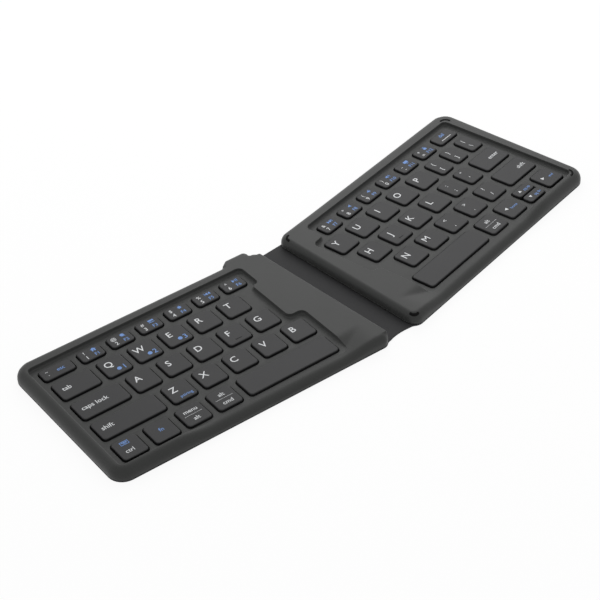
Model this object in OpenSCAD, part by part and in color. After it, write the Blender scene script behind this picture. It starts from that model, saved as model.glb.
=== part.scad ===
// A folding keyboard: two splayed halves that close face to face over a soft
// spine. Each half is a moulded top shell with a sunken key deck, a bottom
// shell and a soft back cover, with scissor keys over a rubber dome sheet.
// Millimetres. +X is to the typist's right, +Y away from the typist, +Z up.
// The origin is on the table, under the middle of the open keyboard.

/* [Key layout] */
// Distance between neighbouring letter keys, and between rows
key_pitch = 17; // [14:0.1:21]
// Gap between the tops of neighbouring keys
key_gap = 4.3; // [3.6:0.1:5.2]
// Distance between neighbouring keys of the number row
number_pitch = 16.3; // [13:0.1:20]
// Depth of the number row's keys
number_d = 7.8; // [6:0.1:10]
// Width of the first key of the left number row
tilde_w = 16.4; // [12:0.1:20]
// Width of the tab key
tab_w = 20; // [15:0.1:24]
// Width of the caps lock key
caps_w = 25.2; // [19:0.1:30]
// Width of the left shift key
left_shift_w = 33.5; // [26:0.1:40]
// Width of the bracket keys at the end of the top letter row
narrow_w = 9.1; // [7.6:0.1:11]
// Width of the enter key
enter_w = 19.7; // [16:0.1:24]
// Gap between the two half-height arrow keys
arrow_gap = 1.1; // [1:0.1:1.6]
// How far the home row starts outside the top letter row on the right half
home_stagger = 4.9; // [3:0.1:8]
// How far the number row starts outside the top letter row on the right half
number_stagger = 8.6; // [6:0.1:12]
// How far the bottom letter row starts outside the top one on the right half
low_stagger = 12.6; // [9:0.1:15]

/* [Halves] */
// Angle by which each half is turned away from straight
splay = 7; // [3:0.5:10]
// Height of a half's rim above the table
rim_h = 7; // [6.8:0.1:9]
// Rim outside the outermost keys
outer_margin = 9.1; // [7.5:0.1:14]
// Rim behind the number row
rear_margin = 10.9; // [9:0.1:14]
// Rim in front of the space bar row
front_margin = 7.7; // [6:0.1:11]
// Distance from the fold's middle line to the nearest left key, along the row
inner_land = 25.7; // [22:0.1:32]
// Distance from the fold's middle line to the right half's top letter row
right_land = 21.6; // [19:0.1:28]
// Radius of a half's outer corners, seen from above
outer_corner = 8; // [6.5:0.1:9]
// Radius of the left half's corners at the fold, seen from above
left_inner_corner = 4; // [2:0.1:8]
// Radius of the right half's corners at the fold, seen from above
right_inner_corner = 5.5; // [4.8:0.1:8]
// Rounding along the outer top edges
edge_round = 4.5; // [3:0.1:4.6]
// Rounding along the left half's top edge at the fold
left_fold_round = 1; // [0.6:0.1:3.5]
// Rounding along the right half's top edge at the fold
right_fold_round = 3.5; // [1:0.1:3.5]

/* [Key deck] */
// Depth of the key deck below the rim
deck_depth = 2; // [1.6:0.1:2.2]
// Thickness of the key deck
deck_t = 0.8; // [0.6:0.1:1.2]
// Clear space between the keys and the walls of the sunken deck
well_gap = 4; // [3:0.1:5]
// Clear space in front of the space bar row
front_gap = 2.4; // [1.6:0.1:4]
// Corner radius of the sunken deck
well_r = 3; // [1:0.1:4]
// Radius of the ramps at the ends of the front thumb scoop
scoop_r = 100; // [60:5:160]
// Distance from the outer end to the level part of the thumb scoop
scoop_outer = 55; // [40:1:70]
// Distance from the fold's middle line to the level part of the thumb scoop
scoop_inner = 28; // [24:1:40]

/* [Keys] */
// How far the key tops stay below the rim
key_recess = 1; // [0.8:0.05:1.2]
// How far a key goes down
key_travel = 1.2; // [1:0.05:1.3]
// How much wider a key is at its skirt than at its top, on each side
key_flare = 0.4; // [0.2:0.05:0.5]
// Clearance between a key's skirt and its opening in the deck
key_clear = 0.3; // [0.2:0.05:0.4]
// Corner radius of a key
key_r = 2; // [1:0.1:2.6]
// Wall of a key
key_wall = 0.9; // [0.7:0.05:1.2]
// How far a key's skirt reaches below the top of the deck
key_skirt = 0.45; // [0.3:0.05:0.6]
// Bevel around a key's top
key_bevel = 0.35; // [0.2:0.05:0.5]
// Height of the raised bars on the two finding keys
home_bar_h = 0.2; // [0.1:0.05:0.3]

/* [Spine and covers] */
// Thickness of the soft spine and of the back covers
cover_t = 1; // [0.8:0.1:1.2]
// Gap left between the two rims when the keyboard is folded
fold_gap = 0.5; // [0.4:0.1:1]
// Clearance between the spine's edge beads and the halves
bead_clear = 0.25; // [0.2:0.05:0.4]
// How far the spine stops short of the halves' rear corners at the fold
spine_rear_inset = 0.6; // [0.4:0.1:4]
// How far the spine stops short of the halves' front corners at the fold
spine_front_inset = 2; // [0.4:0.1:4]
// Rounding along the bottom edge of a back cover
cover_round = 0.8; // [0.4:0.1:0.8]

/* [Insides] */
// Wall of a top shell at its sides
wall = 2; // [1.2:0.1:2.4]
// Roof of a top shell over the inner land and the rim
roof = 1.3; // [1:0.1:1.6]
// Thickness of a bottom shell's floor
floor_t = 0.8; // [0.6:0.1:1]
// Height of the lip around a bottom shell's floor
lip_h = 1; // [0.6:0.1:1.2]
// Thickness of the steel support plates
plate_t = 0.4; // [0.3:0.05:0.5]
// Thickness of the key membranes
membrane_t = 0.25; // [0.2:0.05:0.4]
// Thickness of the rubber dome sheets
sheet_t = 0.15; // [0.1:0.05:0.2]
// Height of the boss under a key's top that pushes its dome
boss_h = 0.35; // [0.2:0.05:0.5]
// Height that a dome keeps clear of a pressed key's boss
dome_clear = 0.2; // [0.1:0.05:0.4]
// Thickness of a scissor frame's bars, lying flat
scissor_t = 0.8; // [0.6:0.05:0.9]
// Length of the battery cell
battery_l = 30; // [24:0.5:36]
// Width of the battery cell
battery_w = 10; // [7:0.5:11.5]
// Thickness of the battery cell
battery_t = 3.2; // [2:0.1:3.6]
// Length of each closing magnet
magnet_l = 20; // [12:1:24]
// Width of each closing magnet
magnet_w = 2.4; // [1.6:0.1:2.6]
// Distance from a half's rear and front edges to the middle of its magnets
magnet_from_end = 22; // [18:1:28]

/* [Charging port] */
// Width of the port's metal shell
port_w = 8.9; // [8:0.1:9.4]
// Height of the port's metal shell
port_h = 3.2; // [2.6:0.1:3.3]
// Length of the port's metal shell
port_l = 6.8; // [6:0.1:7.2]
// How far the boss around the port stands out of the rear edge
boss_out = 2.4; // [1.5:0.1:4]
// Width of the boss around the port
boss_w = 13.5; // [12.5:0.1:16]
// Distance from the fold's middle line to the port
port_u = 23; // [20:0.1:26]
// How far the port's mouth lies inside the boss
port_in = 0.3; // [0.2:0.1:0.6]

/* [Bumpers] */
// Width of the rubber bumpers in the right half's corners
bumper_w = 0.9; // [0.6:0.1:1.2]
// Distance from the outline to the middle of a bumper at the outer corners
bumper_in_outer = 4.8; // [4.4:0.1:5.2]
// Distance from the outline to the middle of a bumper at the corners by the fold
bumper_in_inner = 3; // [2.8:0.1:3.6]
// How deep a bumper is let into the rim
bumper_deep = 0.6; // [0.4:0.1:0.9]
// How far the bumpers stand above the rim
bumper_proud = 0.25; // [0.1:0.05:0.25]

/* [Hidden] */
small = 0.01;
snug = 0.1;
round_fn = 48;
hull_fn = 32;
arc_steps = 8;

// Keys
key_w = key_pitch - key_gap;
number_w = number_pitch - key_gap;
arrow_d = (key_w - arrow_gap) / 2;
row_clear = 4;
number_front = key_w + row_clear;
letter_rows_front = -3 * key_pitch;

// Outline of a half: u runs outward along the key rows, v away from the typist
left_row_l = left_shift_w + 5 * key_pitch;
right_end_u = right_land + 5 * key_pitch + 3 * (narrow_w + key_gap) - key_gap;
half_w = max(inner_land + left_row_l, right_end_u) + outer_margin;
left_end_u = half_w - outer_margin;
rear_v = number_front + number_d + rear_margin;
front_v = letter_rows_front - front_margin;

// Heights
deck_z = rim_h - deck_depth;
key_top = rim_h - key_recess;
key_bottom = deck_z - key_skirt;
floor_z = cover_t + floor_t;
plate_z = floor_z + plate_t;
membrane_z = plate_z + membrane_t;
sheet_z = membrane_z + sheet_t;
roof_z = rim_h - roof;
dome_h = key_top - key_wall - boss_h - key_travel - dome_clear - sheet_z;

// Fold
fold_z = cover_t / 2;
spine_w = 2 * (rim_h - fold_z) + fold_gap;
wall_x = spine_w / 2 + fold_z + bead_clear;
function fold_u(x, v) = (x + v * sin(splay)) / cos(splay);

// Corner vertices of a half, from the outer rear one round to the outer front
CORNERS = [
    [half_w, rear_v],
    [fold_u(wall_x, rear_v), rear_v],
    [fold_u(wall_x, front_v), front_v],
    [half_w, front_v]
];
function corner_r(side) =
    let (inner = side < 0 ? left_inner_corner : right_inner_corner)
    [outer_corner, inner, inner, outer_corner];
BUMPER_IN = [bumper_in_outer, bumper_in_inner, bumper_in_inner, bumper_in_outer];
function corner_round(side) =
    let (fold = side < 0 ? left_fold_round : right_fold_round)
    [edge_round, fold, fold, edge_round];

function unit(p) = p / norm(p);
function corner_half_angle(i) =
    let (a = unit(CORNERS[(i + 3) % 4] - CORNERS[i]))
    let (b = unit(CORNERS[(i + 1) % 4] - CORNERS[i]))
    acos(a * b) / 2;
function corner_way(i) =
    unit(unit(CORNERS[(i + 3) % 4] - CORNERS[i]) + unit(CORNERS[(i + 1) % 4] - CORNERS[i]));
// Centre of a circle that touches both edges at a corner, inset from the outline
function corner_centre(i, r) = CORNERS[i] + corner_way(i) * r / sin(corner_half_angle(i));

// The origin lies half way between the rearmost and the foremost corners
function fold_y(p) = p[0] * sin(splay) + p[1] * cos(splay);
rear_y = fold_y(corner_centre(0, outer_corner)) + outer_corner;
inner_corner = min(left_inner_corner, right_inner_corner);
front_y = fold_y(corner_centre(2, inner_corner)) - inner_corner;
mid_y = (rear_y + front_y) / 2;

// Each key is [name, u of its middle, v of its middle, width, depth]
function row_v(row) =
    row == 0 ? number_front + number_d / 2 : (1 - row) * key_pitch + key_w / 2;
function row_d(row) = row == 0 ? number_d : key_w;
function left_key(name, row, s, w) = [name, left_end_u - s - w / 2, row_v(row), w, row_d(row)];
function right_key(name, row, u, w) = [name, u + w / 2, row_v(row), w, row_d(row)];
function left_letters(names, row, first_w) =
    [for (i = [0:len(names) - 1])
        left_key(names[i], row, first_w + key_gap + i * key_pitch, key_w)];
function right_letters(names, row, start) =
    [for (i = [0:len(names) - 1]) right_key(names[i], row, start + i * key_pitch, key_w)];

LEFT_LETTERS = concat(
    left_letters("qwert", 1, tab_w),
    left_letters("asdfg", 2, caps_w),
    left_letters("zxcvb", 3, left_shift_w));
home_u = right_land + home_stagger;
low_u = right_land + low_stagger;
seven_u = right_land + number_stagger;
RIGHT_LETTERS = concat(
    right_letters("yuiop", 1, right_land),
    right_letters("hjkl", 2, home_u),
    right_letters("nm", 3, low_u));
LEFT_NUMBERS = concat(
    [left_key("tilde", 0, 0, tilde_w)],
    [for (i = [0:5])
        left_key("number", 0, tilde_w + key_gap + i * number_pitch, number_w)]);
back_u = seven_u + 6 * number_pitch;
RIGHT_NUMBERS = concat(
    [for (i = [0:5]) right_key("number", 0, seven_u + i * number_pitch, number_w)],
    [right_key("backspace", 0, back_u, right_end_u - back_u)]);
bracket_u = right_land + 5 * key_pitch;
colon_u = home_u + 4 * key_pitch;
colon_pitch = (right_end_u - enter_w - colon_u) / 2;
comma_u = low_u + 2 * key_pitch;
PUNCTUATION = concat(
    [for (i = [0:2]) right_key("bracket", 1, bracket_u + i * (narrow_w + key_gap), narrow_w)],
    [for (i = [0:1]) right_key("colon", 2, colon_u + i * colon_pitch, colon_pitch - key_gap)],
    [for (i = [0:2]) right_key("comma", 3, comma_u + i * key_pitch, key_w)]);
LEFT_MODIFIERS = concat(
    [left_key("tab", 1, 0, tab_w)],
    [left_key("caps", 2, 0, caps_w)],
    [left_key("shift", 3, 0, left_shift_w)],
    [for (i = [0:3]) left_key("modifier", 4, i * key_pitch, key_w)]);
right_shift_u = low_u + 5 * key_pitch;
RIGHT_MODIFIERS = [
    right_key("shift", 3, right_shift_u, right_end_u - right_shift_u),
    right_key("alt", 4, right_end_u - 3 * key_pitch - key_w, key_w)];
left_space_s = 4 * key_pitch;
LEFT_SPACE = left_key("space", 4, left_space_s, left_row_l - left_space_s);
right_space_w = right_end_u - 4 * key_pitch - home_u;
RIGHT_SPACE = right_key("space", 4, home_u, right_space_w);
ENTER = right_key("enter", 2, right_end_u - enter_w, enter_w);
arrow_u = right_end_u - key_w / 2;
ARROW_CELL = ["arrow", arrow_u - key_pitch, row_v(4), key_w, key_w];
SIDE_ARROWS = [
    ["arrow", arrow_u - 2 * key_pitch, row_v(4), key_w, key_w],
    ["arrow", arrow_u, row_v(4), key_w, key_w]];
HALF_ARROWS = [for (s = [-1, 1])
    ["arrow", arrow_u - key_pitch, row_v(4) + s * (arrow_d + arrow_gap) / 2, key_w, arrow_d]];
LEFT_KEYS = concat(LEFT_LETTERS, LEFT_NUMBERS, LEFT_MODIFIERS, [LEFT_SPACE]);
RIGHT_FULL_KEYS = concat(RIGHT_LETTERS, RIGHT_NUMBERS, PUNCTUATION, RIGHT_MODIFIERS,
    SIDE_ARROWS, [RIGHT_SPACE, ENTER]);
RIGHT_KEYS = concat(RIGHT_FULL_KEYS, HALF_ARROWS);
LETTERS = concat(LEFT_LETTERS, RIGHT_LETTERS);

// What the half on each side holds, left first
function keys_of(side) = side < 0 ? LEFT_KEYS : RIGHT_KEYS;
function cells_of(side) = side < 0 ? LEFT_KEYS : concat(RIGHT_FULL_KEYS, [ARROW_CELL]);
function end_u(side) = side < 0 ? left_end_u : right_end_u;
// Inner ends of the number row, the two upper letter rows and the two lower rows
left_number_s = tilde_w + 6 * number_pitch;
left_home_s = caps_w + 5 * key_pitch;
function inner_ends(side) = side < 0
    ? [left_end_u - left_number_s, left_end_u - left_home_s, left_end_u - left_row_l]
    : [seven_u, right_land, home_u];

// ---------------------------------------------------------------- placing

// Puts what is drawn in u and v on the left (-1) or the right (1) half
module on_half(side) {
    translate([0, -mid_y, 0])
        mirror([side < 0 ? 1 : 0, 0, 0])
            rotate([0, 0, splay])
                children();
}

// Puts what is drawn along the fold, with x outward from its middle line
module along_fold(side) {
    translate([0, -mid_y, 0])
        mirror([side < 0 ? 1 : 0, 0, 0])
            children();
}

// ---------------------------------------------------------------- profiles

// A rectangle with round corners, around its middle
module round_rect(w, d, r) {
    square([w - 2 * r, d], center = true);
    square([w, d - 2 * r], center = true);
    for (x = [-1, 1], y = [-1, 1])
        translate([x * (w / 2 - r), y * (d / 2 - r)])
            circle(r = r, $fn = round_fn);
}

// A rectangle with round corners, between two opposite corners
module round_block(from, to, r) {
    translate((from + to) / 2)
        round_rect(to[0] - from[0], to[1] - from[1], r);
}

// Points of an arc of radius r that rounds the corner at b, between a and c
function turned(p, angle) = [p[0] * cos(angle) - p[1] * sin(angle),
                             p[0] * sin(angle) + p[1] * cos(angle)];
function arc_at(a, b, c, r) =
    let (to_a = unit(a - b), to_c = unit(c - b))
    let (half = acos(to_a * to_c) / 2)
    let (centre = b + unit(to_a + to_c) * r / sin(half))
    let (start = b + to_a * r / tan(half) - centre)
    let (way = sign(to_c[0] * to_a[1] - to_c[1] * to_a[0]))
    [for (i = [0:arc_steps]) centre + turned(start, way * (180 - 2 * half) * i / arc_steps)];

// A polygon's points with each corner rounded by its own radius
function rounded(points, radii) =
    let (n = len(points))
    [for (i = [0:n - 1])
        each arc_at(points[(i + n - 1) % n], points[i], points[(i + 1) % n], radii[i])];

// Least corner radius of an outline that is moved inward
inner_r = 0.5;

// A half's outline moved inward, with its corners round
module half_outline(side, inset) {
    moved = [for (i = [0:3]) corner_centre(i, inset)];
    polygon(rounded(moved, [for (r = corner_r(side)) max(r - inset, inner_r)]));
}

// A disc whose top edge is rounded, for the corners of a moulded shell
module top_puck(r, edge, z0, z1) {
    steps = 6;
    arc = [for (i = [0:steps])
        [r - edge + edge * cos(90 * i / steps), z1 - edge + edge * sin(90 * i / steps)]];
    rotate_extrude($fn = hull_fn)
        polygon(concat([[0, z0], [r, z0]], arc, [[0, z1]]));
}

// A disc whose bottom edge is rounded
module bottom_puck(r, edge, z0, z1) {
    translate([0, 0, z0 + z1])
        mirror([0, 0, 1])
            top_puck(r, edge, z0, z1);
}

// ---------------------------------------------------------------- shells

// The sunken key deck, seen from above: the keys' field and a margin round it
module well_outline(side) {
    inner = [for (e = inner_ends(side)) e - well_gap];
    outer = end_u(side) + well_gap;
    rear = number_front + number_d + well_gap;
    front = letter_rows_front - front_gap;
    upper = upper_step(side);
    lower = lower_step(side);
    upper_r = min(well_r, abs(inner[0] - inner[1]) / 2);
    lower_r = min(well_r, abs(inner[1] - inner[2]) / 2);
    polygon(rounded(
        [[outer, rear], [inner[0], rear], [inner[0], upper], [inner[1], upper],
         [inner[1], lower], [inner[2], lower], [inner[2], front], [outer, front]],
        [well_r, well_r, upper_r, upper_r, lower_r, lower_r, well_r, well_r]));
}

// Where the sunken deck's inner wall steps, behind and in front of the two upper
// letter rows: the part that reaches further in keeps its margin round its keys
function upper_step(side) =
    let (ends = inner_ends(side))
    ends[0] < ends[1] ? number_front - well_gap : key_w + well_gap;
function lower_step(side) =
    let (ends = inner_ends(side))
    ends[2] < ends[1] ? row_v(3) + key_w / 2 + well_gap : row_v(2) - key_w / 2 - well_gap;

// Long shallow dip in the front rim, for a thumb to open the folded keyboard
scoop_reach = front_margin - front_gap + well_r;
ramp_steps = 12;
ramp_turn = acos(1 - (deck_depth + 1) / scoop_r);
function ramp(i, way) =
    scoop_r * [way * sin(ramp_turn * i / ramp_steps), 1 - cos(ramp_turn * i / ramp_steps)];
module thumb_scoop() {
    translate([0, front_v + scoop_reach, 0])
        rotate([90, 0, 0])
            linear_extrude(scoop_reach + 1)
                polygon(concat(
                    [for (i = [ramp_steps:-1:0]) [scoop_inner, deck_z] + ramp(i, -1)],
                    [for (i = [0:ramp_steps]) [half_w - scoop_outer, deck_z] + ramp(i, 1)]));
}

// Boss that widens the rear edge around the charging port
module port_boss() {
    r = 3;
    edge = 1.2;
    reach = 3;
    hull()
        for (s = [-1, 1], v = [0, reach])
            translate([port_u + s * (boss_w / 2 - r), rear_v + boss_out - r - v, 0])
                top_puck(r, edge, cover_t, rim_h);
}

// Opening through the boss and the rear wall, for the charging port
module port_hole(extra) {
    translate([port_u, rear_v + boss_out + 1, port_z])
        rotate([90, 0, 0])
            linear_extrude(1 + port_in + port_l + 2 * snug)
                round_rect(port_w + 2 * extra, port_h + 2 * extra, port_h / 2 + extra - small);
}

// Room under the inner land for the board, the battery and the cable end
module land_room(side) {
    inset = wall + 1;
    ends = inner_ends(side);
    front = front_v + scoop_reach + roof;
    linear_extrude(roof_z)
        intersection() {
            half_outline(side, inset);
            union() {
                translate([0, front])
                    square([min(ends) - well_gap - roof, rear_v - front]);
                if (ends[1] > min(ends))
                    translate([0, lower_step(side) + roof])
                        square([min(ends[0], ends[1]) - well_gap - roof,
                            upper_step(side) - lower_step(side) - 2 * roof]);
            }
        }
}

module top_shell(side) {
    color([0.27, 0.28, 0.28])
        on_half(side)
            difference() {
                union() {
                    hull()
                        for (i = [0:3])
                            translate(corner_centre(i, corner_r(side)[i]))
                                top_puck(corner_r(side)[i], corner_round(side)[i],
                                    cover_t, rim_h);
                    if (side < 0) port_boss();
                }
                translate([0, 0, deck_z])
                    linear_extrude(deck_depth + 1)
                        well_outline(side);
                thumb_scoop();
                linear_extrude(deck_z - deck_t)
                    half_outline(side, wall);
                land_room(side);
                for (k = cells_of(side))
                    translate([k[1], k[2], 0])
                        linear_extrude(rim_h)
                            round_rect(k[3] + 2 * (key_flare + key_clear),
                                k[4] + 2 * (key_flare + key_clear), key_r + key_clear);
                if (side < 0) port_hole(snug);
                if (side > 0)
                    for (i = [0:3]) bumper(i, snug / 2);
            }
}

module bottom_shell(side) {
    color([0.2, 0.2, 0.21])
        on_half(side)
            difference() {
                translate([0, 0, cover_t])
                    linear_extrude(floor_t + lip_h)
                        half_outline(side, wall + snug);
                translate([0, 0, floor_z])
                    linear_extrude(lip_h + 1)
                        half_outline(side, wall + snug + lip_t);
                if (side < 0) port_hole(2 * snug);
            }
}

module back_cover(side) {
    color([0.17, 0.17, 0.18])
        on_half(side)
            hull()
                for (i = [0:3])
                    translate(corner_centre(i, corner_r(side)[i]))
                        bottom_puck(corner_r(side)[i], cover_round, 0, cover_t);
}

// ---------------------------------------------------------------- spine

// Soft strip between the halves, with a round bead along each folding edge
module spine_strip() {
    rear = round(10 * (fold_y(CORNERS[1]) - spine_rear_inset)) / 10;
    front = round(10 * (fold_y(CORNERS[2]) + spine_front_inset)) / 10;
    length = rear - front;
    middle = (rear + front) / 2;
    color([0.15, 0.15, 0.16])
        translate([0, middle - mid_y, 0])
            difference() {
                union() {
                    linear_extrude(cover_t)
                        square([spine_w, length], center = true);
                    for (x = [-1, 1])
                        translate([x * spine_w / 2, length / 2, fold_z])
                            rotate([90, 0, 0])
                                cylinder(r = fold_z, h = length, $fn = round_fn);
                }
                translate([0, cable_y - middle, fold_z])
                    cube([spine_w - 1, cable_w + snug, cable_t + snug / 2], center = true);
            }
}

cable_w = 8;
cable_t = 0.3;
cable_y = -4;

// The ribbon that carries the right half's key signals through the spine
module flex_cable() {
    color([0.72, 0.42, 0.12])
        translate([0, cable_y - mid_y, fold_z])
            cube([spine_w - 1.4, cable_w, cable_t], center = true);
}

// The ribbon's end inside a half, flat on the bottom shell's floor
module cable_end(side) {
    color([0.72, 0.42, 0.12])
        along_fold(side)
            translate([wall_x + wall + 1.2, cable_y - cable_w / 2, floor_z])
                cube([board_x - wall_x - wall - 1.4, cable_w, cable_t]);
}

// ---------------------------------------------------------------- insides

board_x = wall_x + wall + 4;
board_t = 0.8;
port_z = floor_z + board_t + port_h / 2;
lip_t = 0.9;
lip_v = rear_v - wall - snug - lip_t;
main_board_l = 42;
main_board_y = fold_y([fold_u(board_x, lip_v), lip_v]) - 2 * snug - main_board_l;

// A circuit board on the bottom shell's floor, beside the fold
module board(side, w, length, y0) {
    hole_in = 1.6;
    color([0.08, 0.3, 0.16])
        along_fold(side)
            difference() {
                translate([board_x, y0, floor_z])
                    cube([w, length, board_t]);
                for (y = [y0 + hole_in, y0 + length - hole_in])
                    translate([board_x + hole_in, y, 0])
                        cylinder(r = 0.6, h = rim_h, $fn = round_fn);
            }
}

// A chip on a board, soldered flat
module chip(side, x, y, w, d, h) {
    color([0.1, 0.1, 0.11])
        along_fold(side)
            translate([board_x + x, y, floor_z + board_t])
                cube([w, d, h]);
}

// The left board carries the controller, the charger and the charging port
module main_board() {
    board(-1, 8.5, main_board_l, main_board_y);
    chip(-1, 1.8, main_board_y + 14, 5, 5, 0.9);
    chip(-1, 2, main_board_y + 22, 4, 3, 0.8);
    chip(-1, 1.2, cable_y - (cable_w - 1) / 2, 1.6, cable_w - 1, 1.1);
}

// The right board joins the right half's membrane to the ribbon
module link_board() {
    board(1, 5.6, 18, -11);
    chip(1, 1.2, -6, 1.4, cable_w - 1, 1.1);
    chip(1, 3.6, -6, 1.4, cable_w - 1, 1.1);
}

module battery() {
    color([0.75, 0.76, 0.78])
        along_fold(-1)
            translate([wall_x + wall + 1.5, front_v + 12, floor_z])
                linear_extrude(battery_t)
                    round_block([0, 0], [battery_w, battery_l], 1);
}

module charging_port() {
    color([0.7, 0.71, 0.73])
        on_half(-1)
            translate([port_u, rear_v + boss_out - port_in, port_z])
                rotate([90, 0, 0]) {
                    linear_extrude(port_l)
                        difference() {
                            round_rect(port_w, port_h, port_h / 2 - small);
                            round_rect(port_w - 0.7, port_h - 0.7, port_h / 2 - 0.36);
                        }
                    translate([0, 0, port_l - 0.8])
                        linear_extrude(0.8)
                            round_rect(port_w - 0.5, port_h - 0.5, port_h / 2 - 0.26);
                    linear_extrude(port_l)
                        square([6.6, 0.7], center = true);
                }
}

// Closing magnets, glued up under the outer rim above the bottom shell's lip
module magnets(side) {
    top = deck_z - deck_t;
    bottom = floor_z + lip_h + snug;
    color([0.6, 0.6, 0.62])
        on_half(side)
            for (v = [rear_v - magnet_from_end, front_v + magnet_from_end])
                translate([half_w - wall - snug - magnet_w, v - magnet_l / 2, bottom])
                    cube([magnet_w, magnet_l, top - bottom]);
}

// The keys' field, seen from above, that the plate and the sheets share
module field(side, inset) {
    ends = inner_ends(side);
    outer = end_u(side) + 0.5 - inset;
    rear = number_front + number_d + 0.5 - inset;
    front = letter_rows_front - 0.5 + inset;
    translate([max(ends) - 0.5 + inset, front])
        square([outer - max(ends) + 0.5 - inset, rear - front]);
    for (row = [[0, number_front - 0.5, rear], [1, row_v(2) - key_w / 2, number_front],
                [2, front, row_v(3) + key_w / 2 + 0.5]])
        translate([ends[row[0]] - 0.5 + inset, row[1] + inset])
            square([outer - ends[row[0]] + 0.5 - inset, row[2] - row[1] - 2 * inset]);
}

module support_plate(side) {
    color([0.62, 0.63, 0.65])
        on_half(side)
            translate([0, 0, floor_z])
                linear_extrude(plate_t)
                    difference() {
                        field(side, 0);
                        for (k = keys_of(side), s = [-1, 1])
                            translate([k[1] + s * (frame_w(k) / 2 + 0.3), k[2]])
                                square([0.8, 2], center = true);
                    }
}

module membrane(side) {
    color([0.55, 0.6, 0.62])
        on_half(side)
            translate([0, 0, plate_z])
                linear_extrude(membrane_t)
                    field(side, 0.4);
}

// Size of a key's scissor frame: wide keys have one of the common size
frame_bar = 0.7;
function frame_w(k) = min(k[3], key_w) - 3.6;
function frame_d(k) = max(k[4] - 3.2, 3.6);
function dome_r(k) = min(2.1, frame_d(k) / 2 - frame_bar - 0.2);

module dome_sheet(side) {
    color([0.8, 0.82, 0.82])
        on_half(side) {
            translate([0, 0, membrane_z])
                linear_extrude(sheet_t)
                    field(side, 0.4);
            for (k = keys_of(side))
                translate([k[1], k[2], membrane_z + sheet_t / 2])
                    cylinder(r1 = dome_r(k), r2 = dome_r(k) * 0.65,
                        h = dome_h + sheet_t / 2, $fn = round_fn);
        }
}

// One lever of a scissor: a flat frame round the dome
module lever(w, d, bar) {
    difference() {
        square([w, d], center = true);
        square([w - 2 * bar, d - 2 * bar], center = true);
    }
}

module scissor_frames(side) {
    color([0.85, 0.85, 0.82])
        on_half(side)
            for (k = keys_of(side))
                translate([k[1], k[2], sheet_z])
                    linear_extrude(scissor_t)
                        lever(frame_w(k), frame_d(k), frame_bar);
}

// Rubber bumper along the round of a corner, let into the rim
module bumper(i, extra) {
    r = corner_r(1)[i] - BUMPER_IN[i];
    centre = corner_centre(i, corner_r(1)[i]);
    out = atan2(-corner_way(i)[1], -corner_way(i)[0]);
    span = 96;
    translate([centre[0], centre[1], rim_h - bumper_deep - extra])
        rotate([0, 0, out - span / 2])
            rotate_extrude(angle = span, $fn = round_fn)
                translate([r - bumper_w / 2 - extra, 0])
                    square([bumper_w + 2 * extra, bumper_deep + extra + bumper_proud]);
}

module corner_bumpers() {
    color([0.05, 0.05, 0.05])
        on_half(1)
            for (i = [0:3]) bumper(i, 0);
}

// ---------------------------------------------------------------- keys

// Side view of a key: flared down from a bevelled top
module key_side(size, height) {
    top = size / 2;
    polygon([
        [-top - key_flare, 0], [top + key_flare, 0],
        [top + 0.05, height - key_bevel], [top - key_bevel, height],
        [-top + key_bevel, height], [-top - 0.05, height - key_bevel]
    ]);
}

// A key's outer form, w wide and d deep at its top
module key_form(w, d, height) {
    foot = 2 * key_flare;
    intersection() {
        linear_extrude(height)
            round_rect(w + foot, d + foot, key_r);
        translate([0, (d + foot) / 2, 0])
            rotate([90, 0, 0])
                linear_extrude(d + foot)
                    key_side(w, height);
        translate([-(w + foot) / 2, 0, 0])
            rotate([90, 0, 90])
                linear_extrude(w + foot)
                    key_side(d, height);
    }
}

// A hollow key with the boss that pushes its dome
module key(k) {
    height = key_top - key_bottom;
    translate([k[1], k[2], key_bottom]) {
        difference() {
            key_form(k[3], k[4], height);
            translate([0, 0, -1])
                linear_extrude(height - key_wall + 1)
                    round_rect(k[3] + 2 * (key_flare - key_wall),
                        k[4] + 2 * (key_flare - key_wall), key_r - key_wall / 2);
        }
        translate([0, 0, height - key_wall - boss_h])
            cylinder(r = 1.1, h = boss_h + small, $fn = round_fn);
    }
}

module key_group(side, keys) {
    color([0.16, 0.16, 0.17])
        on_half(side)
            for (k = keys) key(k);
}

// A letter key; the two that the index fingers find by touch have a raised bar
module letter_key(side, k) {
    color([0.16, 0.16, 0.17])
        on_half(side) {
            key(k);
            if (k[0] == "f" || k[0] == "j")
                translate([k[1], k[2] - key_w / 2 + 2.6, key_top - small])
                    linear_extrude(home_bar_h)
                        round_rect(3.4, 0.7, 0.34);
        }
}

back_cover(-1);  // left_back_cover
bottom_shell(-1);  // left_bottom_shell
top_shell(-1);  // left_top_shell
support_plate(-1);  // left_support_plate
membrane(-1);  // left_membrane
dome_sheet(-1);  // left_dome_sheet
scissor_frames(-1);  // left_scissor_frames
magnets(-1);  // left_magnets
main_board();
battery();
charging_port();
cable_end(-1);  // left_cable_end
spine_strip();
flex_cable();
back_cover(1);  // right_back_cover
bottom_shell(1);  // right_bottom_shell
top_shell(1);  // right_top_shell
support_plate(1);  // right_support_plate
membrane(1);  // right_membrane
dome_sheet(1);  // right_dome_sheet
scissor_frames(1);  // right_scissor_frames
magnets(1);  // right_magnets
link_board();
cable_end(1);  // right_cable_end
corner_bumpers();
for (k = LEFT_LETTERS)
    letter_key(-1, k);
for (k = RIGHT_LETTERS)
    letter_key(1, k);
key_group(-1, [LEFT_SPACE]);  // left_space_bar
key_group(1, [RIGHT_SPACE]);  // right_space_bar
key_group(1, [ENTER]);  // enter_key
key_group(-1, LEFT_NUMBERS);  // left_number_keys
key_group(1, RIGHT_NUMBERS);  // right_number_keys
key_group(1, PUNCTUATION);  // punctuation_keys
key_group(-1, LEFT_MODIFIERS);  // left_modifier_keys
key_group(1, RIGHT_MODIFIERS);  // right_modifier_keys
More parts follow.
